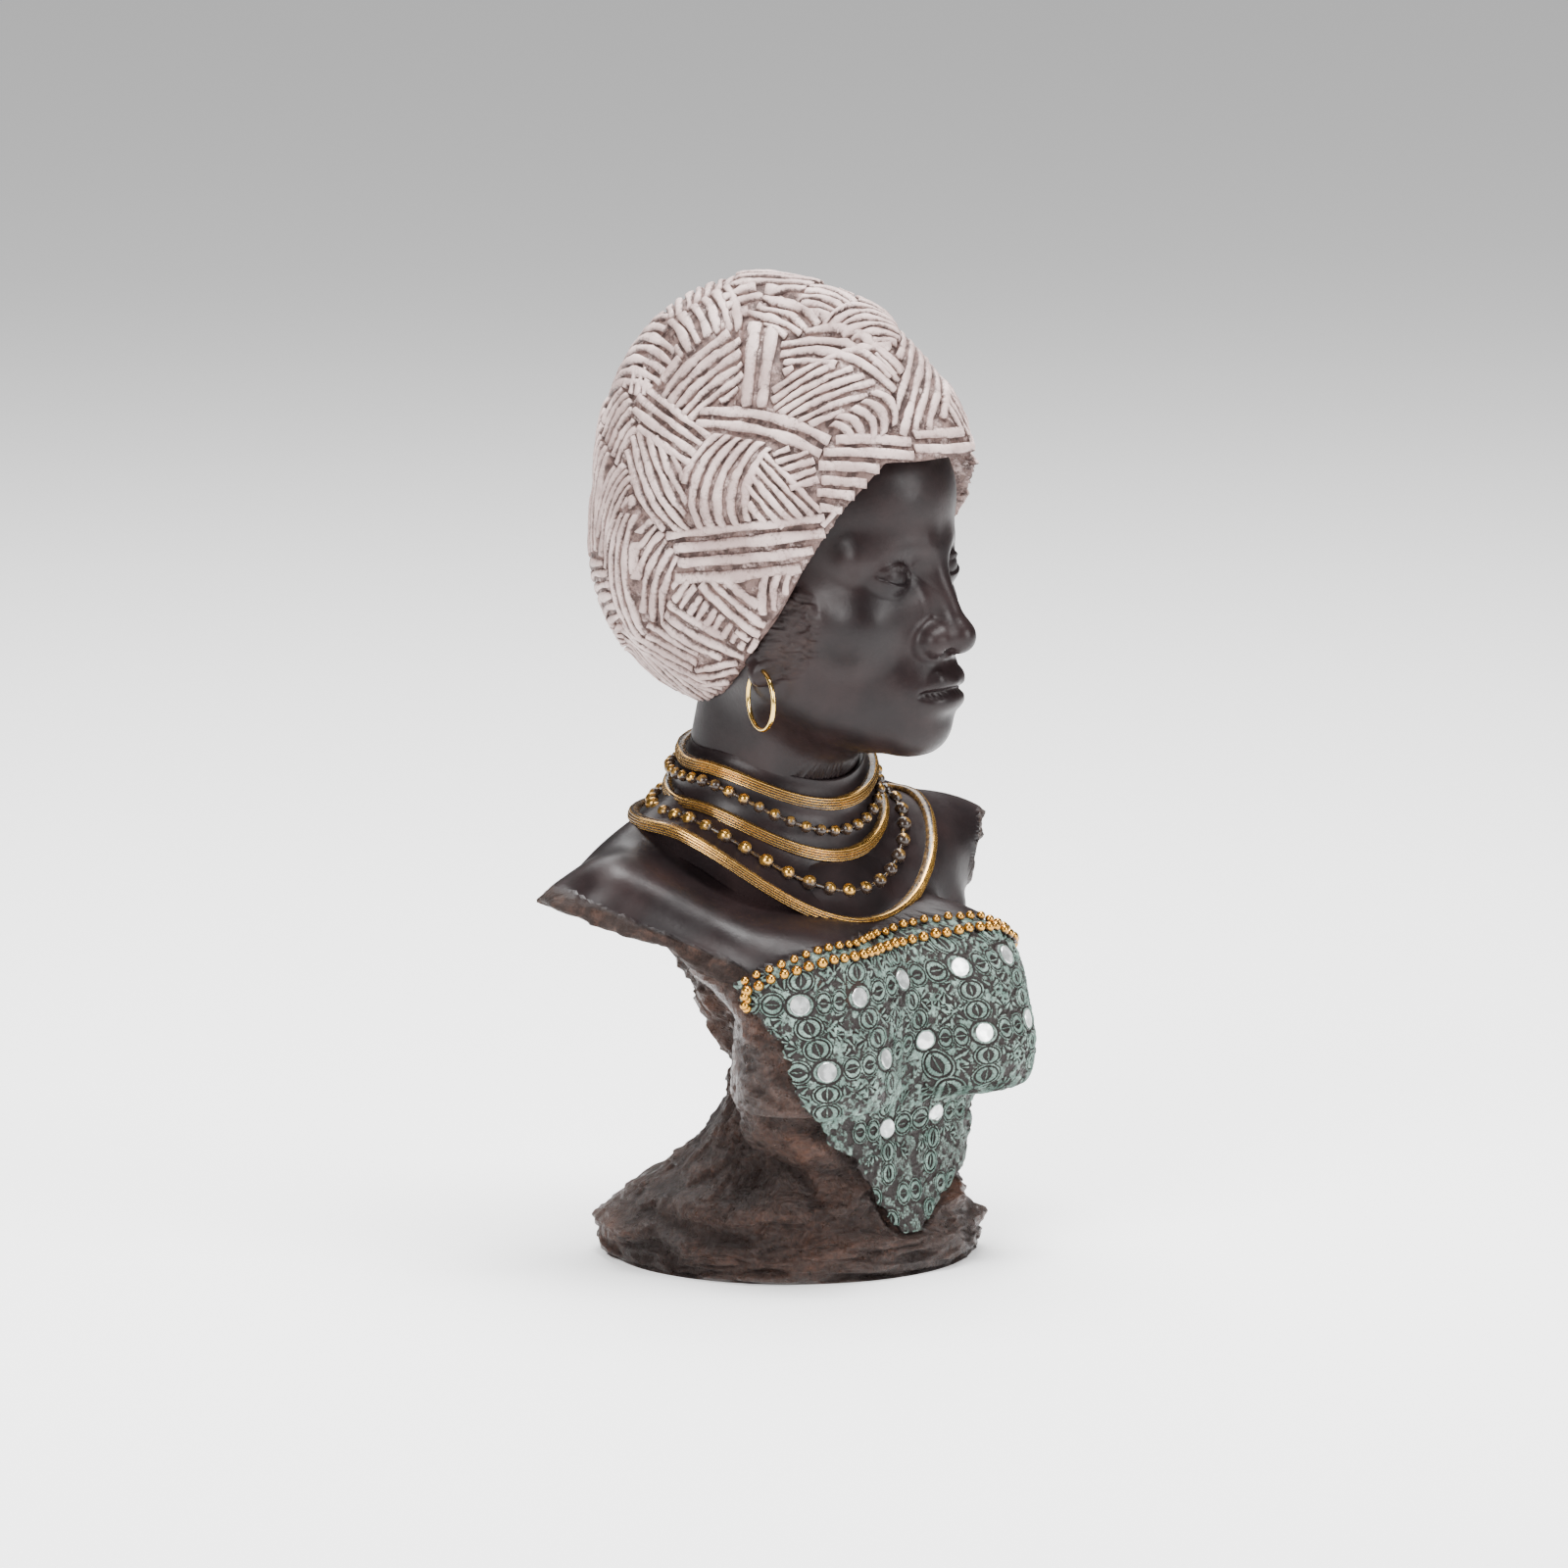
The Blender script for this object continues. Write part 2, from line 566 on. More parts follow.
def newPatch(out, run, length, width, strips, bend, wave):
    run = unit(run - out * (run @ out))
    size = np.linalg.norm(wrapPoint(out) - wrapMiddle)
    return {"out": out, "run": run, "across": np.cross(out, run), "size": size, "length": length,
            "width": width, "strips": strips, "bend": bend, "wave": wave}


def patchTable():
    table = []
    felt = wrapPicture["felt"]
    for x, y, lean, length, width, *rest in seenPatches:
        cos, sin = math.cos(math.radians(lean)), math.sin(math.radians(lean))
        ends = []
        for dx, dy in ((0, 0), (cos, -sin), (sin, cos)):
            pixel = vec(*wrapPicture["corner"]) + vec(x + felt * dx, y + felt * dy) / wrapPicture["perPixel"]
            ends.append(onWrap(*pixel))
        middle, along, aside = ends
        grow = [min(np.linalg.norm(end - middle) / felt, wrapPicture["largest"]) for end in (along, aside)]
        table.append(newPatch(unit(middle), along - middle, length * grow[0], width * grow[1], *rest))
    for bearing, rise, lean, *rest in hiddenPatches:
        around, up, tilt = (math.radians(angle) for angle in (bearing, rise, lean))
        out = vec(math.sin(around) * math.cos(up), math.cos(around) * math.cos(up), math.sin(up))
        east = vec(math.cos(around), -math.sin(around), 0)
        table.append(newPatch(out, east * math.cos(tilt) + np.cross(east, out) * math.sin(tilt), *rest))
    return table


wrapPatches = patchTable()


# for each direction, the patch it belongs to, how much nearer that one is than the next, and how high the
# wrap bulges there
def nearestPatch(direction):
    gaps = []
    for patch in wrapPatches:
        ahead = direction @ patch["out"]
        near = np.maximum(ahead, wrap["horizon"])
        along = np.abs(direction @ patch["run"]) * patch["size"] / near / patch["length"]
        aside = np.abs(direction @ patch["across"]) * patch["size"] / near / patch["width"]
        gaps.append(np.where(ahead > wrap["horizon"], np.maximum(along, aside), 99))
    gaps = np.array(gaps)
    ordered = np.sort(gaps, axis=0)
    share = np.exp(-wrap["levelBlend"] * (gaps - ordered[0]))
    levels = wrap["level"] * np.sin(wrap["levelTurn"] * np.arange(len(gaps)))
    return np.argmin(gaps, axis=0), ordered[1] - ordered[0], levels @ share / share.sum(axis=0)


def wrapMaterial(name, bare):
    paint = Paint(name, Specular_IOR_Level=0.35, Roughness=0.55 + 0.1 * bare)
    worn = paint.span(paint.grained(paint.attribute("height"), paint.noise(1.1, 6, 0.7), 1.3), 0.3, 0.8)
    pale = paint.mix(paint.span(paint.noise(16, 4), 0.38, 0.66), wrap["shade"], wrap["light"])
    dirt = paint.mix(paint.span(paint.noise(3.4, 5, 0.65), 0.42, 0.6), wrap["deep"], wrap["groove"])
    paint.feed("Base Color", paint.mix(worn, dirt, pale))
    paint.bump(paint.noise(0.9, 6, 0.7), 0.45, 0.5 + 0.3 * bare)
    return paint.material


stripPaint = wrapMaterial("dryBrushedStrips", 0.0)
groovePaint = wrapMaterial("wrapGrooves", 1.0)


def makeWrapBase():
    mesh, around, down = roundMesh("wrapBase", wrap["columns"], wrap["rows"])
    points = wrapPoint(heading(around, down) * vec(1, -1, 1))
    # points below the hem are drawn in along the hem to a small rolled edge
    under = ramp(hemHeight(points[:, 1]) - points[:, 2], 0, 1.5)
    direction = unit(points - wrapMiddle)
    seam, level = nearestPatch(direction)[1:]
    rough = clouds(points, 3.2, 3, 5)
    lift = level + 0.35 * rough + 0.25 * clouds(points, 9, 2, 8) - 0.5 * bump(seam, 0.06)
    points = points + direction * (lift * (1 - under))[:, None]
    low = hemHeight(points[:, 1])
    sunk = np.maximum(low - points[:, 2], 0)
    points[:, 2] = np.maximum(points[:, 2], low)
    shrink = np.clip(1 - sunk / wrap["hemDrawnIn"], 0.05, 1)[:, None]
    points[:, :2] = wrapMiddle[:2] + (points[:, :2] - wrapMiddle[:2]) * shrink
    points[:, 2] = np.maximum(points[:, 2], hemHeight(points[:, 1]) + wrap["hemEdge"] * (sunk > 1))
    height = 0.3 + 0.42 * rough + 0.25 * clouds(points, 1.4, 2, 15)
    finish(mesh, fromHead(points), groovePaint, "wrap_resin", height=height)


# each strip is a low bar with sunk sides, bent over the wrap and cut where its patch ends
def makeWrapStrips():
    runs, crosses = wrap["stripRuns"], wrap["stripCrosses"]
    shape = bmesh.new()
    bmesh.ops.create_grid(shape, x_segments=runs, y_segments=crosses, size=0.5)
    bmesh.ops.holes_fill(shape, edges=[edge for edge in shape.edges if edge.is_boundary], sides=0)
    places = []
    for index, patch in enumerate(wrapPatches):

        def pathAt(along, aside, patch=patch):
            bowed = aside + patch["bend"] * ((along / patch["length"]) ** 2 - 0.3)
            bowed = bowed + patch["wave"] * np.sin(along / 3.1 + aside)
            across = patch["across"] * bowed[..., None]
            return unit(patch["out"] + (across + patch["run"] * along[..., None]) / patch["size"])

        pitch = 2 * patch["width"] / patch["strips"]
        count = 2 * patch["strips"] + 6
        for number in range(count):
            offset = (number - (count - 1) / 2) * pitch + rng.uniform(-0.06, 0.06) * pitch
            along = np.arange(-1.7, 1.7, 0.02) * patch["length"]
            way = pathAt(along, np.full(len(along), offset))
            ground = wrapPoint(way)
            own = (nearestPatch(way)[0] == index) & (ground[:, 2] > hemHeight(ground[:, 1]) + 1.0)
            if not own.any():
                continue
            first, last = along[own][0] + rng.uniform(0.1, 0.7), along[own][-1] - rng.uniform(0.1, 0.7)
            if last - first < wrap["shortest"]:
                continue
            wide = pitch * rng.uniform(0.56, 0.70)
            seed = int(rng.integers(1000))

            def place(own, pathAt=pathAt, offset=offset, first=first, last=last, wide=wide, seed=seed):
                s, t = own[:, 0] + 0.5, own[:, 1]
                edge = np.abs(t) > 0.49
                end = (s < 0.01) | (s > 0.99)
                low = edge | end
                sAt = np.clip((s - 1 / runs) / (1 - 2 / runs), 0, 1)
                tAt = np.clip(t / (1 - 2 / crosses), -0.5, 0.5)
                outer = np.abs(tAt) > 0.4
                along = first + (last - first) * sAt
                ragged = cloud(xyz(along, tAt * 3, 7.7), 1.9, seed)
                aside = offset + tAt * wide * (1 + 0.12 * ragged) + np.where(edge, np.sign(t) * 0.2, 0)
                along = along + np.where(end, np.where(s < 0.5, -0.25, 0.25), 0)
                lift = wrap["stripHeight"] * (1 - 0.2 * outer) * (1 + 0.15 * ragged)
                lift = np.where(low, -wrap["stripSunk"], lift)
                way = pathAt(along, aside)
                points = fromHead(wrapPoint(way, lift + nearestPatch(way)[2]))
                return points, np.where(low, -0.6, 0.82 + 0.2 * ragged - 0.25 * outer)

            places.append(place)
    print("strips", len(places))
    scatter("wrapStrips", shape, places, stripPaint, "wrap_resin")


# shoulders, back and chest
body = {
    "shoulderReach": 101, "shoulderTip": 132, "middleY": 14, "leftLift": 10, "liftFrom": 5, "liftTo": 75,
    "columns": 230, "rows": 165, "rayStart": (0, 14, 127), "longest": 130,
    "towardsSide": 0.2, "towardsLevel": 0.15,
    "undercutFacing": (0.42, 0.14, -0.9), "undercutRight": 128, "undercutLeft": 110,
    "leftEndFacing": (0.743, -0.6, -0.235), "leftEndHeight": 139.5,
    "sideFacing": (0.743, 0.669), "sideDepth": 18.5, "sideFrom": 88, "sideOpen": 112, "leftLower": 18,
    "breastBottom": 58, "brokenRight": 7, "brokenLeft": 2.2, "tornLift": 3.0, "tornOut": 0.2, "ripple": 0.06,
}
# torn clay's scale, stretch and seed under the arms and behind the cloth
tornRim = (11, (1, 1, 1.3), 40)


def sideCut(d, p):
    up = p[..., 2]
    lower = body["leftLower"] * ramp(p[..., 0], 0, 40)
    opening = np.maximum(up - body["sideFrom"] + lower, 0) + 3 * np.maximum(up - body["sideOpen"], 0)
    across = np.abs(p[..., 0]) * body["sideFacing"][0] + p[..., 1] * body["sideFacing"][1]
    return carve(d, -(across - body["sideDepth"] - opening), 6)


def skinField(p):
    side = mirrored(p)
    arm = side.copy()
    arm[..., 2] -= body["leftLift"] * ramp(p[..., 0], body["liftFrom"], body["liftTo"])
    shoulder = (body["shoulderReach"] - 51, body["middleY"], body["shoulderTip"] - 16)
    d = blend(egg(p, (0, 4, 104), (60, 42, 42)), egg(side, (30, 20, 120), (38, 24, 28)), 14)  # chest and back
    d = blend(d, egg(arm, shoulder, (53, 22, 20)), 14)
    d = blend(d, limb(arm, (12, 15, 159), (52, 16, 128), 12, 8), 14)  # slope from the neck
    d = blend(d, limb(p, (60, 14, 124), (93, 12, 119), 15, 12), 8)  # underside of her left arm
    d = blend(d, limb(p, (56, 6, 124), (63, 0, 104), 12, 12), 10)  # front of her left armpit
    d = blend(d, limb(p, (0, 8, 172), (0, 8, 130), 23, 29), 10)  # neck
    breasts = limb(side, (30.5, -39, 71), (30, -37, 88), 31, 29.5)
    d = blend(d, carve(breasts, p[..., 2] - body["breastBottom"], 3), 10)
    d = blend(d, limb(side, (0, -35.5, 90), (26, -36, 90), 24, 24), 10)  # bosom
    d = blend(d, limb(p, (-72, 4, 126), (-46, -30, 104), 13, 15), 12)  # front of her right armpit
    return sideCut(d, p)


def undercutField(p):
    side = mirrored(p)
    side[..., 2] -= np.where(p[..., 0] < 0, body["undercutRight"], body["undercutLeft"])
    under = (side - vec(body["shoulderReach"], body["middleY"], 0)) @ unit(vec(*body["undercutFacing"]))
    leftEnd = p - vec(body["shoulderReach"], body["middleY"], body["leftEndHeight"])
    return np.maximum(under, leftEnd @ unit(vec(*body["leftEndFacing"])))


def torsoField(p):
    return -blend(-skinField(p), -undercutField(p), 2)


def makeTorso():
    mesh, around, down = roundMesh("shouldersAndBack", body["columns"], body["rows"])
    start = vec(*body["rayStart"])
    turned = around + body["towardsSide"] * np.sin(2 * around)
    aim = heading(turned, down + body["towardsLevel"] * np.sin(2 * down))
    points = start + aim * reach(torsoField, start, aim, body["longest"])[:, None]
    thick = np.where(points[:, 0] < 0, body["brokenRight"], body["brokenLeft"])
    broken = ramp(undercutField(points) + thick + 1.5 * clouds(points, 9, 2, 44), 0, 1.6)
    belowHem = ramp(bodiceHem(bearingOf(points)) - points[:, 2], 0, 1.5) * (points[:, 1] < 0)
    broken = np.maximum(broken, belowHem)
    lift = broken * (body["tornLift"] * tornClay(points, *tornRim) + body["tornOut"])
    points += aim * (lift + body["ripple"] * clouds(points, 14, 2, 4))[:, None]
    finish(mesh, points, darkSkin, "dark_resin", broken=broken)


# the bodice: a curved sheet of cloth over the breasts that narrows to a ragged tip on the base
bodice = {
    # half widths of the core that carries the cloth, by height
    "panelRight": ((14, 9), (26, 20), (40, 35), (47, 41), (60, 46), (80, 50)),
    "panelLeft": ((14, 13), (20, 23), (27, 34), (31, 41), (41, 46), (46, 47), (56, 46), (62, 52), (80, 54)),
    "panelBottom": 14, "panelTop": 84, "panelBack": -12, "middleY": -17, "depth": 37, "flare": 4,
    "flareFade": 9, "squareness": 3.4, "axisY": -14, "thickness": 1.3, "hemHeight": 113, "longest": 90,
    # the hem: bearing from the front in degrees, then height
    "hem": ((-90, 92), (-63, 104), (-55, 108.3), (-47, 111.3), (-38, 112.9), (-19, 112.7), (0, 113.1),
            (12, 113.9), (25, 115), (34, 115.6), (43, 114.7), (49, 111.4), (58, 107), (70, 100), (90, 94)),
    # edges of the cloth: height, then bearing from the front in degrees
    "edgeRight": ((14, 4), (18, 9), (26, 15), (40, 26), (47, 39), (55, 44), (63, 47), (82, 51), (92, 60),
                  (100, 67)),
    "edgeLeft": ((14, 7), (20, 20), (27, 32), (31, 39), (41, 41), (46, 44), (56, 45), (59, 52), (62, 62),
                 (100, 67)),
    "columns": 240, "rows": 270, "ragged": 1.6, "sunk": 3, "relief": 0.5, "reliefDown": 0.3, "stipple": 0.35,
    # heights and bearings of the mirrors, and of the two knots without a mirror below them
    "mirrorRows": ((99.5, (-47.5, -29.5, -5.5, 20, 39)), (77.5, (-40, -20, 5.5, 23, 42)), (50, (-10, 19.5))),
    "knotRow": ((27, (-9, 14)),), "climb": 0.075, "columnShift": (2, 2, 1, 1), "arc": 55,
    "petalClear": 4.2, "petalWide": 3.5, "petalShare": 0.97, "petalEyeWide": 0.34, "looseStep": 21.5,
    # heights of a petal by ring from its middle to its outside, and of its eye from the middle line outwards
    "petalRings": ((0, 0.7), (0.8, 0.7), (0.86, -1), (0.94, -1), (1.0, 0.6), (1.08, 0.6), (1.13, -0.9),
                   (1.2, -0.9)),
    "petalEye": ((0, 0.6), (0.12, 0.6), (0.25, -0.8), (0.85, -0.6), (1.0, -1), (1.25, -1), (1.4, 0.7)),
    # fans in each corner round a mirror: how far out they are rooted, and their length
    "fans": ((6.2, 3.6), (10.6, 3.6), (13.5, 2.6)), "fanBlades": 8, "fanOpen": 1.15, "fanLean": 0.7,
    "fanOuter": 10,
    "mirrorRim": ((-0.2, 0.2), (0, 0.6), (0.3, 0.6), (0.5, -0.9), (1.1, -0.9)),
    "patina": (0.105, 0.18, 0.148), "patinaPale": (0.25, 0.36, 0.31), "ground": (0.014, 0.0095, 0.0085),
    "clayColumns": 260, "clayRows": 110, "clayLift": 2.8, "claySunk": 1.5,
}


def bearingOf(p):
    return np.arctan2(p[..., 0], -(p[..., 1] - bodice["axisY"]))


def bodiceHem(bearing):
    return readOff(bodice["hem"], np.degrees(bearing))


def panelField(p):
    x, y, z = p[..., 0], p[..., 1], p[..., 2]
    up = z - bodice["panelBottom"]
    width = np.where(x < 0, readOff(bodice["panelRight"], z), readOff(bodice["panelLeft"], z))
    depth = bodice["depth"] + bodice["flare"] * np.exp(-np.maximum(up, 0) / bodice["flareFade"])
    power = bodice["squareness"]
    far = (np.abs(x / width) ** power + np.abs((y - bodice["middleY"]) / depth) ** power) ** (1 / power)
    ends = np.maximum(np.maximum(-up, z - bodice["panelTop"]), y - bodice["panelBack"])
    return np.maximum((far - 1) * np.minimum(width, depth), ends)


def frontField(p):
    return blend(skinField(p), sideCut(panelField(p), p), 8)


# the front's surface at bearings and heights
def bodiceAt(bearing, z, lift=0.0):
    start = xyz(0, bodice["axisY"], z)
    aim = sideways(bearing)
    return start + aim * (reach(frontField, start, aim, bodice["longest"]) + lift)[:, None]


def outward(p, step=1.0):
    slopes = [frontField(p + axis * step) - frontField(p - axis * step) for axis in np.eye(3)]
    return unit(np.stack(slopes, -1))


# the lattice that the ornament hangs on, as places of angle and height
def latticeRows():
    rows = bodice["mirrorRows"] + bodice["knotRow"]
    return [[(math.radians(turn), z + bodice["climb"] * turn) for turn in turns] for z, turns in rows]


# mirrors on the unrolled cloth, in mm round and up
def mirrorSpots():
    return np.array([(turn * bodice["arc"], z) for row in latticeRows()[:-1] for turn, z in row])


# two petals on each way from a lattice point to the next, or outwards where there is none
def petalPlaces():
    rows = [[vec(turn * bodice["arc"], z) for turn, z in row] for row in latticeRows()]
    places = []
    for r, c in ((r, c) for r, row in enumerate(rows) for c in range(len(row))):
        spot = rows[r][c]
        for dr, dc in ((0, 1), (0, -1), (1, 0), (-1, 0)):
            gap = vec(dc, -dr) * bodice["looseStep"]
            steps = (1,) if dr < 0 else (1, 3)
            if 0 <= r + dr < len(rows):
                at = c + dc + bodice["columnShift"][r + dr] - bodice["columnShift"][r]
                if 0 <= at < len(rows[r + dr]):
                    gap, steps = rows[r + dr][at] - spot, (1,)
            far = np.hypot(*gap)
            half = (far / 2 - bodice["petalClear"]) / 2
            turn = math.atan2(gap[1], gap[0])
            for step in steps:
                middle = spot + gap / far * (bodice["petalClear"] + step * half)
                places.append((middle, turn, half * bodice["petalShare"]))
    return places


# a petal is two pale crescents round a dark eye, with a thin ring outside
def petalRelief(u, z):
    ring, lens, turned = np.full(len(u), 9.0), np.full(len(u), 9.0), np.zeros(len(u))
    for (cu, cz), turn, half in petalPlaces():
        du, dz = u - cu, z - cz
        near = np.flatnonzero((np.abs(du) < half + 5) & (np.abs(dz) < half + 5))
        a = (du[near] * math.cos(turn) + dz[near] * math.sin(turn)) / half
        b = (-du[near] * math.sin(turn) + dz[near] * math.cos(turn)) / bodice["petalWide"]
        own = np.hypot(a, b)
        closer = own < ring[near]
        at = near[closer]
        ring[at], turned[at] = own[closer], np.arctan2(b, a)[closer]
        lens[at] = (np.abs(b) / np.maximum(bodice["petalEyeWide"] * (1 - (a / 0.72) ** 2), 0.02))[closer]
    beads = 0.5 * np.cos(22 * turned) * bump(ring - 0.62, 0.16)
    height = readOff(bodice["petalRings"], ring) + beads
    height = np.where((ring < 0.84) & (lens < 1.5), readOff(bodice["petalEye"], lens), height)
    return np.where(ring < 1.2, height, -9)


# fans of short blades that fill the cells between the chains
def fanRelief(u, z):
    height = np.full(len(u), -9.0)
    for spot, corner in itertools.product(mirrorSpots(), range(4)):
        lean = math.pi / 4 + corner * math.pi / 2
        for far, size in bodice["fans"]:
            root = spot + far * vec(math.cos(lean), math.sin(lean))
            du, dz = u - root[0], z - root[1]
            near = np.flatnonzero(np.hypot(du, dz) < size)
            away = np.hypot(du[near], dz[near])
            aside = bodice["fanLean"] if far > bodice["fanOuter"] else -bodice["fanLean"]
            side = np.arctan2(dz[near], du[near]) - lean - aside
            side = (side + math.pi) % (2 * math.pi) - math.pi
            blade = np.cos(side * bodice["fanBlades"]) * ramp(away, 0.1, 0.8)
            blade = blade - 0.9 * ramp(away, size - 0.5, size)
            blade = np.where(np.abs(side) < bodice["fanOpen"], 1.1 * blade - 0.25, -9)
            height[near] = np.maximum(height[near], blade)
    return height


def bodicePattern(u, z, points):
    height = petalRelief(u, z)
    fans = fanRelief(u, z)
    patches = cloud(points, 2.0, 61) + 0.6 * cloud(points, 1.0, 63)
    veins = bump(cloud(points, 1.5, 64), 0.12)
    ground = np.clip(0.1 + 1.6 * patches, -0.7, 0.5) + 0.6 * veins * (patches < 0)
    ground -= 0.35 * ramp(60 - z, 0, 25)  # the paint is thinner towards the tip
    height = np.where(height > -5, height, np.where(fans > -5, fans, ground))
    spots = mirrorSpots()
    nearMirror = np.min(np.hypot(u[:, None] - spots[:, 0], z[:, None] - spots[:, 1]), axis=1)
    rim = nearMirror - mirror["radius"]
    return np.where(rim < 1.1, readOff(bodice["mirrorRim"], rim), height)


def bodiceMaterial():
    paint = Paint("verdigrisPaint", Specular_IOR_Level=0.28)
    grain = paint.noise(0.7, 6, 0.8)
    worn = paint.span(paint.grained(paint.attribute("height"), grain, 3.0), -0.15, 0.7)
    green = paint.mix(paint.span(paint.noise(5, 5, 0.65), 0.36, 0.66), bodice["patina"], bodice["patinaPale"])
    rubbed = paint.span(paint.noise(2.2, 4), 0.38, 0.62, 0.72, 1.0)
    paint.feed("Base Color", paint.mix(paint.math("MULTIPLY", worn, rubbed), bodice["ground"], green))
    paint.feed("Roughness", paint.span(worn, 0, 1, 0.40, 0.60))
    paint.bump(grain, 0.35, 0.7)
    return paint.material


verdigris = bodiceMaterial()


def edgeBearing(key, z):
    return np.radians(readOff(bodice[key], z))


# the grid's outermost rows and columns, and how far the others run over 0..1
def inner(part, count):
    return np.abs(part - 0.5) > 0.5 - 0.5 / count, np.clip((part - 1 / count) / (1 - 2 / count), 0, 1)


# the cloth in two sheets that meet along the middle; the outer rows and columns are sunk as its wall
def makeBodice():
    bottom, top = bodice["edgeRight"][0][0], bodice["hemHeight"]
    for name, start in (("bodiceRight", 0), ("bodiceLeft", 0.5)):
        mesh, across, along = gridMesh(name, bodice["columns"], bodice["rows"])
        sideEdge, across = inner(across, bodice["columns"])
        endEdge, along = inner(along, bodice["rows"])
        across = start + 0.5 * across
        bearing, z = np.zeros(len(along)), bottom + (top - bottom) * along
        for _ in range(4):
            right, left = -edgeBearing("edgeRight", z), edgeBearing("edgeLeft", z)
            level = xyz(z, 0, 0)
            rag = math.radians(bodice["ragged"]) * (cloud(level, 3.1, 4) + 0.5 * cloud(level, 1.1, 5))
            rag *= ramp(top - z, 8, 16)
            bearing = right + rag + (left - right - 2 * rag) * across
            z = bottom + (bodiceHem(bearing) - bottom) * along
        points = bodiceAt(bearing, z, bodice["thickness"])
        height = bodicePattern(bearing * bodice["arc"], z, points)
        stipple = bodice["stipple"] * cloud(points, 0.6, 12)
        lift = bodice["relief"] * np.clip(height, -1, 1) + 0.5 * stipple - bodice["reliefDown"]
        edge = sideEdge | endEdge
        points += outward(points) * np.where(edge, -bodice["sunk"], lift)[:, None]
        finish(mesh, points, verdigris, "verdigris_resin", height=np.where(edge, -1, height + stipple))


# rough clay behind the cloth
def makeFrontClay():
    mesh, across, along = gridMesh("frontClay", bodice["clayColumns"], bodice["clayRows"])
    bearing = (across * 2 - 1) * math.pi
    low, high = bodice["panelBottom"] - 4, bodice["hemHeight"] - 3
    z = low + (high - low) * np.clip((along - 0.01) / 0.98, 0, 1)
    points = bodiceAt(bearing, z)
    torn = tornClay(points, *tornRim)
    points += sideways(bearing) * (bodice["clayLift"] * torn - bodice["claySunk"])[:, None]
    ends = (along < 0.005) | (along > 0.995)
    points[ends, :2] = vec(0, bodice["axisY"])
    finish(mesh, points, clay, "rock_resin", height=0.5 + 0.35 * torn)


# gold-rubbed resin for the bands and beads
gold = {"bright": (0.62, 0.34, 0.075), "deep": (0.52, 0.26, 0.045), "worn": (0.028, 0.017, 0.012)}


def goldMaterial(name, rubbed, color, speckle=1.2):
    paint = Paint(name, Specular_IOR_Level=0.5)
    grain = paint.noise(1.6, 5, 0.65)
    shown = paint.span(paint.grained(paint.attribute("height"), grain, speckle), rubbed - 0.2, rubbed + 0.2)
    paint.feed("Base Color", paint.mix(shown, gold["worn"], color))
    paint.feed("Metallic", paint.span(shown, 0, 1, 0, 0.95))
    paint.feed("Roughness", paint.span(grain, 0.3, 0.7, 0.16, 0.3))
    paint.bump(grain, 0.1, 0.5)
    return paint.material


bandGold = goldMaterial("goldRubbedBands", 0.56, gold["bright"], 0.45)
necklaceGold = goldMaterial("goldRubbedNecklace", 0.7, gold["bright"])
hemGold = goldMaterial("goldRubbedHem", 0.42, gold["deep"])

# rings that the collars and beads follow: half width, depth, middle y, height at front, side and back
collar = {
    "rings": {
        "inner": (22, 22, 5.5, 160, 169, 173),
        "neckTop": (29.5, 27.5, 6.5, 160, 170, 175),
        "band1": (33.3, 29.5, 6.8, 152.3, 164.9, 170.2),
        "beads1": (35.5, 31.5, 8, 143.5, 161, 163),
        "band2": (37.3, 32.9, 7.4, 135.5, 152.2, 160),
        "beads2": (42.7, 37.5, 6.3, 124.6, 149.2, 152),
        "band3": (53.5, 43, 4, 114.6, 147, 147),
        "under": (51, 38, 4, 106, 138, 138),
    },
    "bandTall": 4.3, "bandOut": 1.9, "ridges": 5, "ridgeOut": 0.5, "bandColumns": 170, "bandRows": 52,
    "groundColumns": 180, "groundRows": 70, "dip": 0.9, "ripple": 0.08,
    "beads": {"beads1": (2.0, 42), "beads2": (2.45, 37)}, "beadColumns": 16, "beadRows": 10,
    "cord": 0.7, "cordColumns": 160, "cordRows": 8,
}


def ringPoint(name, around, grow=0.0):
    half, depth, middle, front, side, back = collar["rings"][name]
    forward = np.cos(around)
    height = side + (np.where(forward > 0, front, back) - side) * forward ** 2
    return xyz((half + grow) * np.sin(around), middle - (depth + grow) * forward, height)


# dark skin between the bands, which dips a little between two rings
def makeCollarGround():
    mesh, around, along, outwards = ringMesh("collarGround", collar["groundColumns"], collar["groundRows"])
    rings = np.stack([ringPoint(name, around) for name in collar["rings"]])
    level = along * (len(rings) - 1)
    index = np.clip(np.floor(level).astype(int), 0, len(rings) - 2)
    part = (level - index)[:, None]
    columns = np.arange(len(around))
    points = rings[index, columns] * (1 - part) + rings[index + 1, columns] * part
    dip = -collar["dip"] * np.sin(np.pi * part[:, 0]) * (level > 1) * (level < 6)
    points = points + outwards * (dip + collar["ripple"] * clouds(points, 5, 2, 6))[:, None]
    finish(mesh, points, darkSkin, "dark_resin", broken=np.zeros(len(points)))


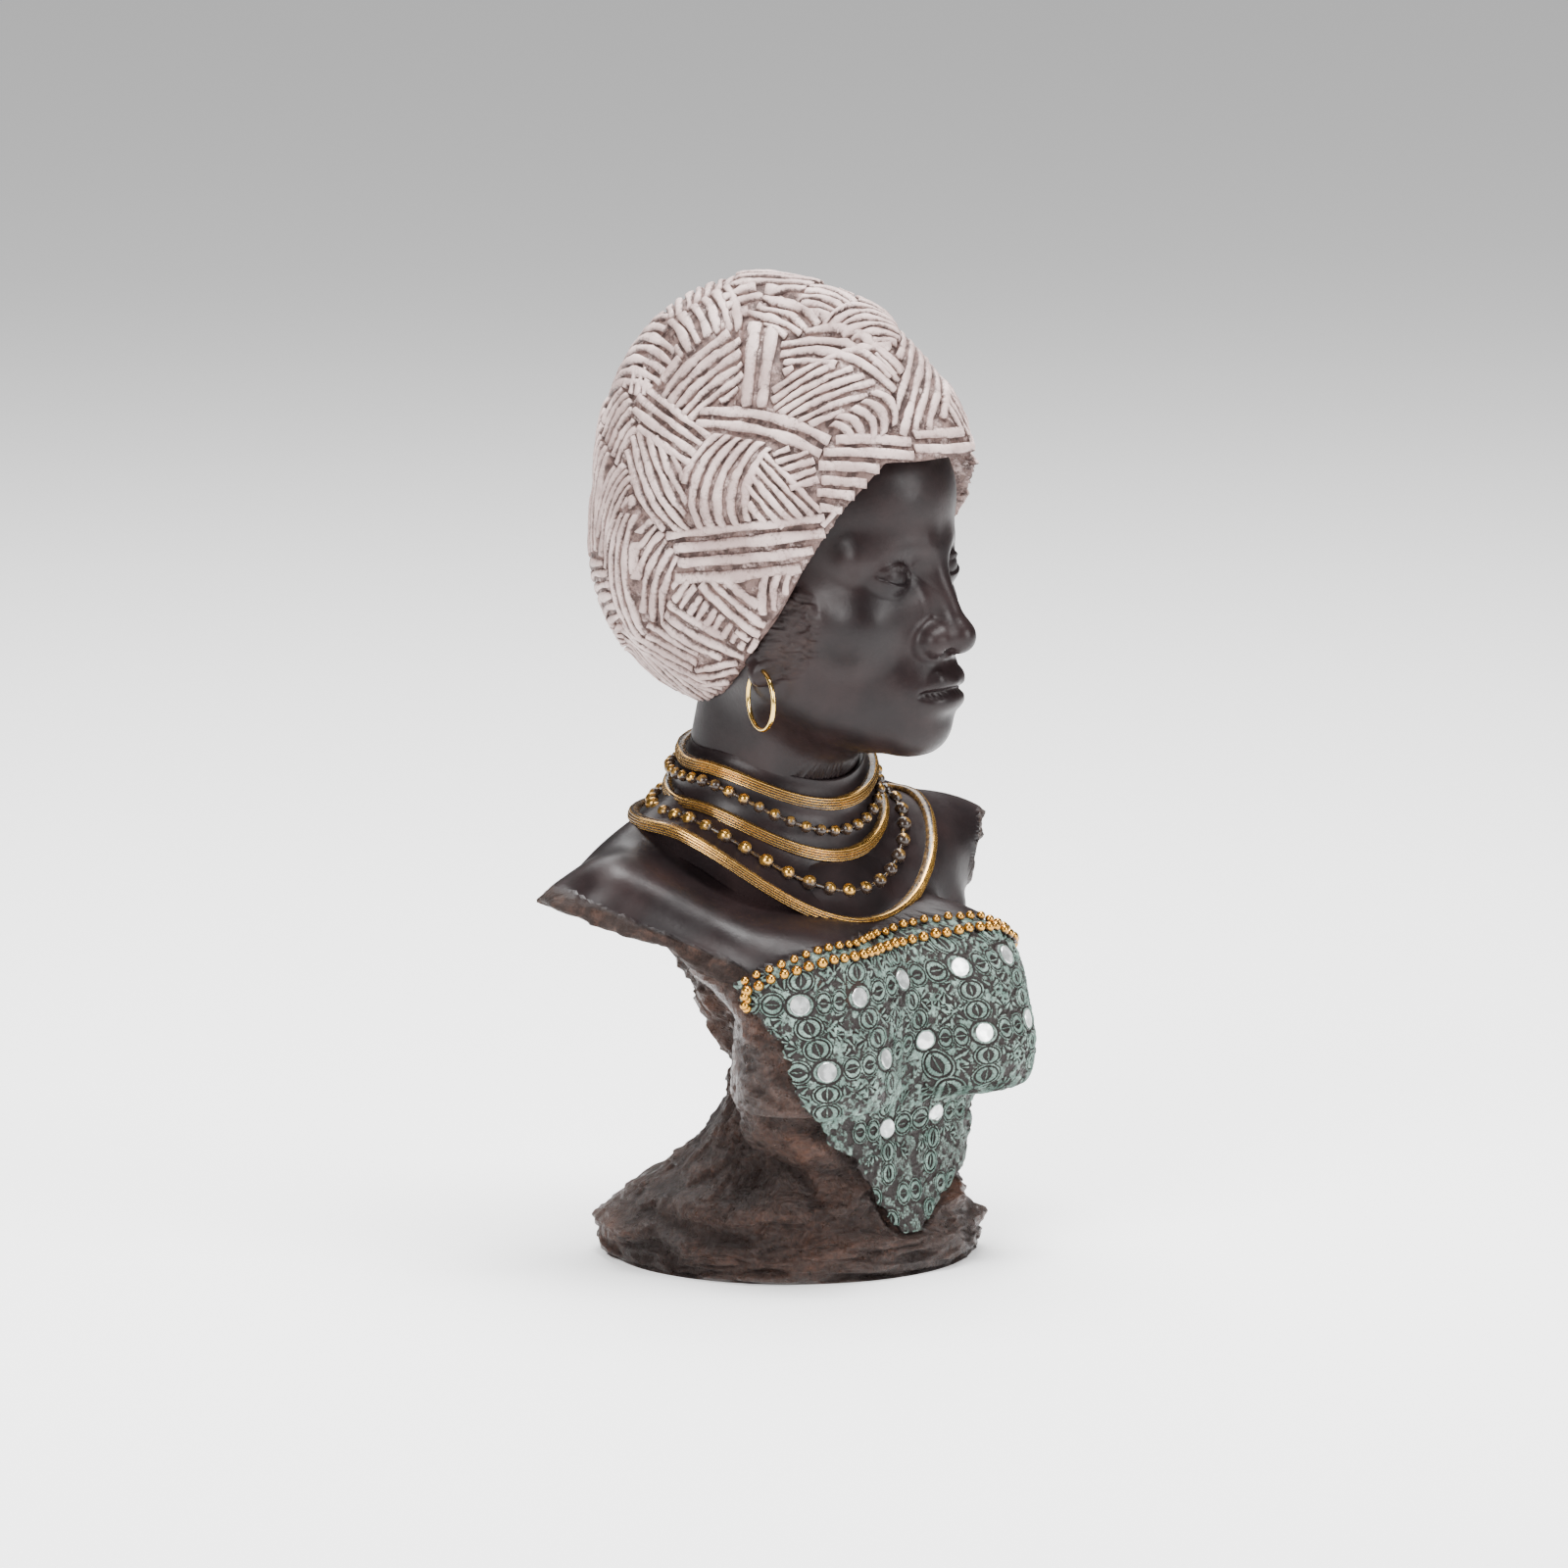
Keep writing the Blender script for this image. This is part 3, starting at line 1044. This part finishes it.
def makeBands():
    for number in range(3):
        mesh, around, along, outwards = ringMesh(
            "goldBand%d" % (number + 1), collar["bandColumns"], collar["bandRows"])
        turn = along * 2 * math.pi
        turn = turn - 0.6 * np.sin(turn)  # rows crowd on the ridged side
        outer, rise = np.cos(turn), np.sin(turn)
        ridge = 0.5 + 0.5 * np.cos(rise * collar["ridges"] * math.pi)
        fade = 0.35 * cloud(xyz(around * 30, rise * 2, number * 5.3), 9, 20 + number)
        wobble = 0.12 * cloud(xyz(around * 30, rise * 4, number * 9.1), 3, number)
        out = collar["bandOut"] * np.sign(outer) * np.abs(outer) ** 0.6
        out = np.where(outer > 0, out + collar["ridgeOut"] * (ridge - 0.6) + wobble, out)
        points = ringPoint("band%d" % (number + 1), around) + outwards * out[:, None]
        points[:, 2] += rise * collar["bandTall"] / 2
        height = np.where(outer > 0.1, ridge + fade + 0.25 * rise, 0.45)
        finish(mesh, points, bandGold, "gilt_paint", height=height)


def makeNecklaceBeads():
    places = []
    for name, (radius, count) in collar["beads"].items():
        for i in range(count):
            around = 2 * math.pi * (i + 0.5) / count
            middle = ringPoint(name, np.array([around]), radius * 0.45)[0]
            size = radius * rng.uniform(0.94, 1.05)
            facing = unit(xyz(math.sin(around), -math.cos(around), 1.2)) + vec(*rng.uniform(-0.12, 0.12, 3))
            worn = rng.uniform(-0.22, 0.14)

            def place(own, middle=middle, size=size, facing=facing, worn=worn):
                points = middle + own * size * (1 + 0.03 * cloud(own + middle, 0.7, 3))[:, None]
                return points, 0.30 + 0.62 * (own @ facing) + worn

            places.append(place)
    shape = ballShape(collar["beadColumns"], collar["beadRows"])
    scatter("necklaceBeads", shape, places, necklaceGold, "gilt_paint")


def makeNecklaceCords():
    for name, (radius, _) in collar["beads"].items():
        mesh, around, along, outwards = ringMesh(name + "Cord", collar["cordColumns"], collar["cordRows"])
        turn = along * 2 * math.pi
        points = ringPoint(name, around, radius * 0.35) + outwards * (collar["cord"] * np.cos(turn))[:, None]
        points[:, 2] += collar["cord"] * np.sin(turn)
        finish(mesh, points, necklaceGold, "gilt_paint", height=np.full(len(points), 0.5))


# two rows of beads along the bodice's hem: drop, radius, and how far to one side
hemTrim = {
    "rows": ((0.6, 1.5, 0.0), (4.1, 1.8, 1.1)), "pitch": 4.3, "reach": 65, "sink": 0.5, "jitter": 0.3,
    "cluster": 4, "clusterStep": 2.9, "clusterRadius": 1.5, "beadColumns": 14, "beadRows": 9,
}


def hemRun(drop, offset):
    bearing = np.radians(np.linspace(-hemTrim["reach"], hemTrim["reach"], 400))
    path = bodiceAt(bearing, bodiceHem(bearing) - drop, bodice["thickness"])
    run = np.concatenate([[0], np.cumsum(np.linalg.norm(np.diff(path, axis=0), axis=1))])
    at = np.arange(offset + hemTrim["pitch"] / 2, run[-1], hemTrim["pitch"])
    return xyz(*[np.interp(at, run, path[:, axis]) for axis in range(3)])


def makeHemBeads():
    spots, sizes = [], []
    for drop, radius, offset in hemTrim["rows"]:
        row = hemRun(drop, offset)
        spots.append(row + rng.uniform(-hemTrim["jitter"], hemTrim["jitter"], row.shape))
        sizes += [radius * rng.uniform(0.93, 1.05) for _ in row]
    # a small bunch hangs from the hem's end on her right
    last, step = spots[1][0], hemTrim["clusterStep"]
    for i in range(hemTrim["cluster"]):
        spots.append([last + vec(-0.4 * step * (i % 2), 0, -step * (i // 2 + 1) + 0.4 * step * (i % 2))])
        sizes.append(hemTrim["clusterRadius"])
    spots = np.concatenate(spots)
    places = []
    for point, out, size in zip(spots, outward(spots), sizes):

        def place(own, point=point, out=out, size=size):
            height = 0.45 + 0.6 * (own @ out) + 0.2 * own[:, 2]
            return point + out * size * hemTrim["sink"] + own * size, height

        places.append(place)
    shape = ballShape(hemTrim["beadColumns"], hemTrim["beadRows"])
    scatter("hemBeads", shape, places, hemGold, "gilt_paint")


pedestal = {
    # half widths of the rough clay by height
    "profile": ((0, 60), (1.5, 62), (4, 62.5), (12, 61.5), (15, 59), (18, 56), (24, 53), (29, 46), (34, 41),
                (44, 34), (56, 27), (68, 25), (80, 30), (92, 39), (104, 43)),
    "axisY": -8, "axisFrom": 15, "axisTo": 30, "columns": 340, "rows": 200, "overrun": 1.4, "calm": 1.2,
    # the clay's lumps: the ring they are drawn on, their heights, and where the base's flat ledges give way
    "lumpRing": 40, "flow": 2.8, "torn": 4.6, "outset": 0.9, "ledgeFull": 12, "ledgeEnd": 24,
    "clothGap": 1.2, "clothTop": 60, "clothMargin": 0.05,
    "dark": (0.021, 0.0115, 0.009), "brown": (0.088, 0.043, 0.029), "red": (0.145, 0.064, 0.039),
}


def pedestalMaterial():
    paint = Paint("roughClayResin", Specular_IOR_Level=0.5)
    grain = paint.noise(1.6, 7, 0.75)
    brown = paint.mix(paint.span(paint.noise(14, 5, 0.6), 0.45, 0.72), pedestal["brown"], pedestal["red"])
    shown = paint.span(paint.grained(paint.attribute("height"), grain, 1.3), 0.2, 0.95)
    paint.feed("Base Color", paint.mix(shown, pedestal["dark"], brown))
    paint.feed("Roughness", paint.span(paint.noise(3, 5), 0.3, 0.7, 0.25, 0.46))
    paint.bump(paint.plus(paint.noise(9, 9, 0.62, 0.8), grain, 0.2), 9.0)
    return paint.material


clay = pedestalMaterial()


def makePedestal():
    mesh, around, down = roundMesh("pedestal", pedestal["columns"], pedestal["rows"])
    top = pedestal["profile"][-1][0]
    level = (0.5 + np.cos(down) / 2) * (top + 2 * pedestal["overrun"]) - pedestal["overrun"]
    height = np.clip(level, 0, top)
    pole = np.sin(down) < 1e-6
    ring = xyz(pedestal["lumpRing"] * np.sin(around), -pedestal["lumpRing"] * np.cos(around), height)
    # slumped clay: broad lumps, ledges that overlap like flakes, and grit
    flow = clouds(ring * vec(1, 1, 0.8), 20, 3, 1)
    flat = ramp(height, pedestal["ledgeEnd"], pedestal["ledgeFull"])
    torn = tornClay(ring, 13, (1, 1, 1.2), 60) * (1 - flat) + tornClay(ring, 15, (0.8, 0.8, 2.4), 80) * flat
    lift = pedestal["flow"] * flow + pedestal["torn"] * torn + pedestal["outset"]
    radius = readOff(pedestal["profile"], height) + ramp(height, 0, pedestal["calm"]) * lift
    radius = np.where(pole, 0, radius)
    middle = pedestal["axisY"] * ramp(height, pedestal["axisFrom"], pedestal["axisTo"])
    points = xyz(radius * np.sin(around), middle - radius * np.cos(around), height)
    points[pole] = xyz(0, middle[pole], height[pole])
    # the clay stays behind the cloth where the cloth hangs over the base
    bearing = bearingOf(points)
    bottom, margin = bodice["panelBottom"], pedestal["clothMargin"]
    level = np.clip(height, bottom, pedestal["clothTop"])
    covered = (bearing > -edgeBearing("edgeRight", level) - margin) & ~pole
    covered &= bearing < edgeBearing("edgeLeft", level) + margin
    low = np.flatnonzero(covered & (height > bottom - 1) & (height < pedestal["clothTop"]))
    behind = bodiceAt(bearing[low], level[low], -pedestal["clothGap"])
    axis = vec(0, bodice["axisY"])
    far = np.linalg.norm(points[low, :2] - axis, axis=1)
    most = np.linalg.norm(behind[:, :2] - axis, axis=1)
    points[low, :2] = axis + (points[low, :2] - axis) * np.minimum(1, most / far)[:, None]
    finish(mesh, points, clay, "rock_resin", height=0.5 + 0.32 * torn + 0.2 * flow)


def makeHoops():
    wire = newMaterial("giltWire", Base_Color=(*hoop["color"], 1), Metallic=1.0, Roughness=hoop["roughness"])
    for name, side in (("earring_right", -1), ("earring_left", 1)):
        bm = bmesh.new()
        bmesh.ops.create_circle(bm, segments=hoop["wireSides"], radius=hoop["wire"] / 1000)
        bmesh.ops.translate(bm, verts=bm.verts, vec=(hoop["radius"] / 1000, 0, 0))
        bmesh.ops.spin(bm, geom=bm.edges[:], cent=(0, 0, 0), axis=(0, 1, 0), dvec=(0, 0, 0),
                       angle=2 * math.pi, steps=hoop["steps"], use_merge=True)
        mesh = toMesh(bm, name + "Wire")
        p = pointsOf(mesh) * 1000
        turn = side * math.radians(hoop["turn"])
        p[:, :2] = p[:, :2] @ np.array([[math.cos(turn), math.sin(turn)], [-math.sin(turn), math.cos(turn)]])
        finish(mesh, fromHead(p + hoopPlace(side)), wire, "gold_wire", node=name)


# round discs in the cloth's pockets, cloudy with age
mirror = {
    "radius": 3.2, "thick": 1.2, "sides": 32, "bevel": 0.25,
    "cloudy": (0.42, 0.44, 0.43), "clear": (0.86, 0.88, 0.87), "roughness": 0.16,
}


def makeMirrors():
    paint = Paint("silveredGlass", Metallic=0.5, Roughness=mirror["roughness"])
    shown = paint.span(paint.noise(3.5, 4), 0.4, 0.65)
    paint.feed("Base Color", paint.mix(shown, mirror["cloudy"], mirror["clear"]))
    for i in range(len(mirrorSpots())):
        node = "mirror_%02d" % (i + 1)
        low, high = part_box(node)
        middle = np.array((low + high) / 2) * 1000 - shift
        out = Vector(outward(middle[None])[0])
        bm = bmesh.new()
        bmesh.ops.create_cone(bm, cap_ends=True, segments=mirror["sides"], radius1=mirror["radius"],
                              radius2=mirror["radius"], depth=mirror["thick"])
        rims = [edge for edge in bm.edges if abs(edge.verts[0].co.z - edge.verts[1].co.z) < 1e-6]
        bmesh.ops.bevel(bm, geom=rims, offset=mirror["bevel"], segments=1, affect="EDGES")
        bmesh.ops.rotate(bm, verts=bm.verts, matrix=out.to_track_quat("Z", "Y").to_matrix())
        mesh = toMesh(bm, node + "Glass")
        finish(mesh, pointsOf(mesh) + middle, paint.material, "mirror_glass", node=node, smooth=False)


makeHead()
makeTorso()
makeBodice()
makeFrontClay()
makeWrapBase()
makeWrapStrips()
makeCollarGround()
makeBands()
makeNecklaceBeads()
makeNecklaceCords()
makeHemBeads()
makePedestal()
makeHoops()
makeMirrors()

# floor, lights and camera, in metres
studio = {
    "framePixels": 1600, "sensor": 36, "floor": (0.95, 0.95, 0.95), "floorGlow": 0.42, "world": 0.1,
    "aim": (0, 0, 0.18),
    # each light's place, width and height, and power
    "lights": {
        "keyLeft": ((-1.5, -0.55, 0.95), (0.8, 1.1), 42),
        "fillRight": ((0.55, -1.6, 0.7), (0.6, 1.0), 26),
        "topBack": ((0.6, 0.9, 1.4), (1.2, 1.0), 25),
        "above": ((0.1, -0.05, 1.5), (0.9, 0.8), 70),
    },
}


def addObject(name, data):
    obj = bpy.data.objects.new(name, data)
    bpy.context.collection.objects.link(obj)
    return obj


def makeFloor():
    bm = bmesh.new()
    bmesh.ops.create_grid(bm, x_segments=1, y_segments=1, size=6)
    mesh = toMesh(bm, "floor")
    mesh.materials.append(newMaterial("paleFloor", Base_Color=(*studio["floor"], 1), Roughness=0.9,
                                      Emission_Color=(1, 1, 1, 1), Emission_Strength=studio["floorGlow"]))
    addObject("floor", mesh)


def addLights():
    for name, (place, size, power) in studio["lights"].items():
        data = bpy.data.lights.new(name, "AREA")
        data.shape = "RECTANGLE"
        data.size, data.size_y = size
        data.energy = power
        obj = addObject(name, data)
        obj.location = place
        obj.rotation_euler = (Vector(studio["aim"]) - Vector(place)).to_track_quat("-Z", "Y").to_euler()
    world = bpy.data.worlds.new("studio")
    bpy.context.scene.world = world
    world.use_nodes = True
    background = world.node_tree.nodes["Background"]
    background.inputs["Color"].default_value = (1, 1, 1, 1)
    background.inputs["Strength"].default_value = studio["world"]


def addCamera():
    data = bpy.data.cameras.new("camera")
    data.sensor_width = studio["sensor"]
    data.lens = studio["sensor"] * picture["distance"] / (picture["scale"] * studio["framePixels"])
    camera = addObject("camera", data)
    camera.location = Vector((shift + pictureTarget + pictureTowards * picture["distance"]) / 1000)
    camera.rotation_euler = Vector(-pictureTowards).to_track_quat("-Z", "Y").to_euler()
    bpy.context.scene.camera = camera


makeFloor()
addLights()
addCamera()
print("studio ready")
